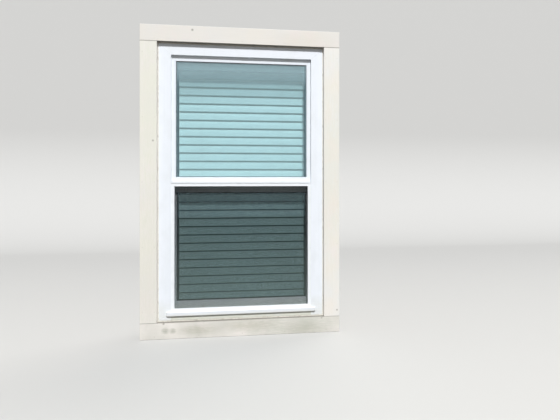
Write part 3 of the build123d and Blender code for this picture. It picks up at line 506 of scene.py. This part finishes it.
for name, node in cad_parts.items():
    if name.endswith("_pane"):
        chosen = pane_glass
    # The upper spacer is painted paler than the others, as painted light
    elif name == "upper_spacer":
        chosen = upper_spacer_painted_lighter
    elif name.endswith("_spacer"):
        chosen = spacer_foam
    elif name.endswith("_gasket"):
        chosen = gasket_rubber
    elif name.endswith("_glazing_beads"):
        chosen = bead_vinyl
    elif name.startswith("balance_"):
        chosen = plated_steel if "rod" in name else balance_nylon
    else:
        chosen = FINISH[name]
    for place in node.material_slots:
        place.material = chosen


# New pieces
def piece(name, points, faces, material, body, slot, *nodes):
    """A mesh from whole arrays of points and faces, riding on a body and standing for CAD nodes."""
    mesh = bpy.data.meshes.new(name)
    mesh.from_pydata(points.reshape(-1, 3).tolist(), [], faces.reshape(-1, faces.shape[-1]).tolist())
    mesh.validate()
    mesh.materials.append(material)
    made = bpy.data.objects.new(name, mesh)
    bpy.context.scene.collection.objects.link(made)
    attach(made, body)
    if nodes:
        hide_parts(*nodes)


def boxes(low, high):
    """Boxes from arrays of their lowest and highest corners: corner k takes high where its bit is set."""
    bits = np.array([[k & 1, k >> 1 & 1, k >> 2 & 1] for k in range(8)])
    points = np.where(bits[None], high[:, None], low[:, None])
    one = np.array([[0, 4, 6, 2], [1, 3, 7, 5], [0, 1, 5, 4], [2, 6, 7, 3], [0, 2, 3, 1], [4, 5, 7, 6]])
    faces = one[None] + 8 * np.arange(len(low))[:, None, None]
    return points, faces


def screen_yarns(node, pitch, width, thickness):
    """Plain weave of flat yarns: uprights and crossings at equal pitch over the cloth's own area, the
    crossings half a thickness behind the uprights so that they touch where they cross."""
    low, high = (np.array(v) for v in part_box(node))
    lows, highs = [], []
    for axis in (0, 2):
        count = int((high[axis] - low[axis]) / (pitch * MM))
        at = np.linspace(low[axis] + width * MM, high[axis] - width * MM, count)
        lo, hi = np.tile(low, (count, 1)), np.tile(high, (count, 1))
        lo[:, axis], hi[:, axis] = at - width * MM / 2, at + width * MM / 2
        depth = low[1] + (0.0 if axis == 0 else 0.5 * thickness * MM)
        lo[:, 1], hi[:, 1] = depth, depth + thickness * MM
        lows.append(lo)
        highs.append(hi)
    return boxes(np.concatenate(lows), np.concatenate(highs))


points, faces = screen_yarns("screen_mesh", pitch=1.6, width=0.41, thickness=0.3)
piece("screen_cloth", points, faces, screen_yarn, "frame", "screen_mesh", "screen_mesh")


def twisted_rod(node, radius, pitch, step):
    """Square bar twisted about its own axis: corner k at height h stands at the angle
    90 k + 360 h / pitch, at a fixed radius, so its four edges are helices."""
    low, high = (np.array(v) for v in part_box(node))
    centre = (low + high) / 2
    count = int((high[2] - low[2]) / (step * MM))
    h = np.linspace(low[2], high[2], count)
    angle = np.arange(4)[None] * math.pi / 2 + (2 * math.pi * (h - low[2]) / (pitch * MM))[:, None]
    x = centre[0] + radius * MM * np.cos(angle)
    y = centre[1] + radius * MM * np.sin(angle)
    points = np.stack([x, y, np.broadcast_to(h[:, None], x.shape)], -1)
    k = np.arange(4)
    row = 4 * np.arange(count - 1)[:, None]
    side = np.stack([row + k, row + (k + 1) % 4, row + 4 + (k + 1) % 4, row + 4 + k], -1).reshape(-1, 4)
    ends = np.array([[3, 2, 1, 0], 4 * count - 4 + k])
    return points, np.concatenate([side, ends])


for side in ("left", "right"):
    points, faces = twisted_rod(f"balance_rod_{side}", radius=3.0, pitch=48.0, step=2.5)
    piece(f"spiral_rod_{side}", points, faces, plated_steel, "lower_sash", "steel", f"balance_rod_{side}")


def ladder_rungs(slats, cords, lean, apart, width, thickness):
    """Rungs of the ladder cords, a flat tape behind each slat at both ladders: a box from the front cord to
    the back cord, whose height rises with its depth by the tangent of the slats' lean."""
    low, high = (np.array(v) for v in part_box(cords))
    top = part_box(slats)[1].z - HALF_SLAT * MM
    count = int((top - low[2]) / (SLAT_PITCH * MM)) + 1
    z = top - SLAT_PITCH * MM * np.arange(count)
    x = np.array([[low[0] + width * MM / 2], [high[0] - width * MM / 2]])
    front, back = low[1] + width * MM / 2, high[1] - width * MM / 2
    middle = np.stack(np.broadcast_arrays(x, (front + back) / 2, z), -1).reshape(-1, 3)
    reach = np.array([width * MM / 2, (back - front) / 2, thickness * MM / 2])
    points, faces = boxes(middle - reach, middle + reach)
    points[..., 2] += (points[..., 1] - (front + back) / 2 - apart * MM) * math.tan(math.radians(lean))
    return points, faces


points, faces = ladder_rungs("blind_slats", "blind_ladders", lean=77.0, apart=3.2, width=1.2, thickness=2.0)
piece("ladder_rungs", points, faces, ladder_cord, "frame", "blind_cord")


# Stage: a pale floor that rises behind the window, with daylight on the front and a soft fill behind
def stage_material(name, colour):
    """Matt pale backdrop paper: it shows pale but throws back little light, and seen through the glass it
    is dark, as an unlit inside is."""
    made, tree, shader, _ = surface(name, colour, 0.9, Specular_IOR_Level=0.1)
    camera_ray = add(tree, "LightPath", out="Is Camera Ray")
    behind_glass = add(tree, "LightPath", out="Transparent Depth")
    behind_glass = add(tree, "Math", behind_glass, 0.5, operation="GREATER_THAN")
    behind_glass = add(tree, "Math", behind_glass, camera_ray, operation="MULTIPLY")
    tree.links.new(tinted(tree, "#6c6965", colour, camera_ray), shader.inputs["Base Color"])
    pale = add(tree, "Emission", inputs={"Color": "#f6f6f4", "Strength": 1.0})
    dark = add(tree, "Emission", inputs={"Color": "#1c2224", "Strength": 1.0})
    lift = add(tree, "Math", camera_ray, 0.2, operation="MULTIPLY")
    paper = add(tree, "MixShader", lift, shader.outputs[0], pale)
    paper = add(tree, "MixShader", behind_glass, paper, dark)
    tree.links.new(paper, tree.nodes["Material Output"].inputs["Surface"])
    return made


def sweep(half_width, front, back, top, radius):
    """Floor and backdrop in one, in metres: a line along the floor, a quarter circle and a line up,
    carried along X."""
    turn = np.linspace(0, math.pi / 2, 24)
    y = np.concatenate([[front], back - radius + radius * np.sin(turn), [back]])
    z = np.concatenate([[0.0], radius - radius * np.cos(turn), [top]])
    x = np.array([-half_width, half_width])
    floor_z = cad_box[0].z - 0.5 * MM
    grid = np.stack(np.broadcast_arrays(x[None], y[:, None], floor_z + z[:, None]), -1)
    faces = 2 * np.arange(len(y) - 1)[:, None] + np.array([[0, 1, 3, 2]])
    return grid, faces


grid, faces = sweep(half_width=18.0, front=-8.0, back=4.5, top=6.0, radius=1.6)
mesh = bpy.data.meshes.new("floor_sweep")
mesh.from_pydata(grid.reshape(-1, 3).tolist(), [], faces.tolist())
mesh.polygons.foreach_set("use_smooth", np.ones(len(mesh.polygons), dtype=bool))
mesh.materials.append(stage_material("pale_backdrop_paper", "#c8c7c4"))
floor = bpy.data.objects.new("floor_sweep", mesh)
bpy.context.scene.collection.objects.link(floor)


def daylight(name, way, strength, spread, colour):
    """Daylight that falls along a direction from a patch that is spread degrees wide."""
    light = bpy.data.lights.new(name, "SUN")
    light.energy = strength
    light.angle = math.radians(spread)
    light.color = linear(colour)[:3]
    made = bpy.data.objects.new(name, light)
    tilt = math.atan2(math.hypot(way[0], way[1]), -way[2])
    made.rotation_euler = (tilt, 0.0, math.atan2(-way[0], way[1]))
    bpy.context.scene.collection.objects.link(made)


daylight("front_sky", way=(-0.06, 0.70, -0.72), strength=3.55, spread=4.0, colour="#fcfdff")
daylight("back_fill", way=(-0.45, -0.75, -0.5), strength=4.8, spread=70.0, colour="#fffdf8")

# The world shows bright, also mirrored in the glass, but lights the window less
world = bpy.data.worlds.new("pale_sky")
bpy.context.scene.world = world
world.use_nodes = True
tree = world.node_tree
sky = tree.nodes["Background"]
sky.inputs["Color"].default_value = linear("#f4f7fa")
camera_ray = add(tree, "LightPath", out="Is Camera Ray")
mirrored_ray = add(tree, "LightPath", out="Is Glossy Ray")
shown = add(tree, "Math", camera_ray, mirrored_ray, operation="MAXIMUM")
tree.links.new(add(tree, "MapRange", shown, 0.0, 1.0, 0.31, 0.85), sky.inputs["Strength"])

# Camera, as far from the window and as far turned to the right as the photograph's was
camera = bpy.data.cameras.new("camera")
camera.lens = 28.93
camera.sensor_width = 36.0
camera.shift_x = -0.05
camera.shift_y = -0.0557
camera.clip_end = 60.0
camera_object = bpy.data.objects.new("camera", camera)
camera_object.location = (0.0315, -2.5397, 0.8359)
camera_object.rotation_euler = (math.radians(90.0), 0.0, math.radians(-7.583))
bpy.context.scene.collection.objects.link(camera_object)
bpy.context.scene.camera = camera_object
bpy.context.scene.view_settings.view_transform = "Standard"
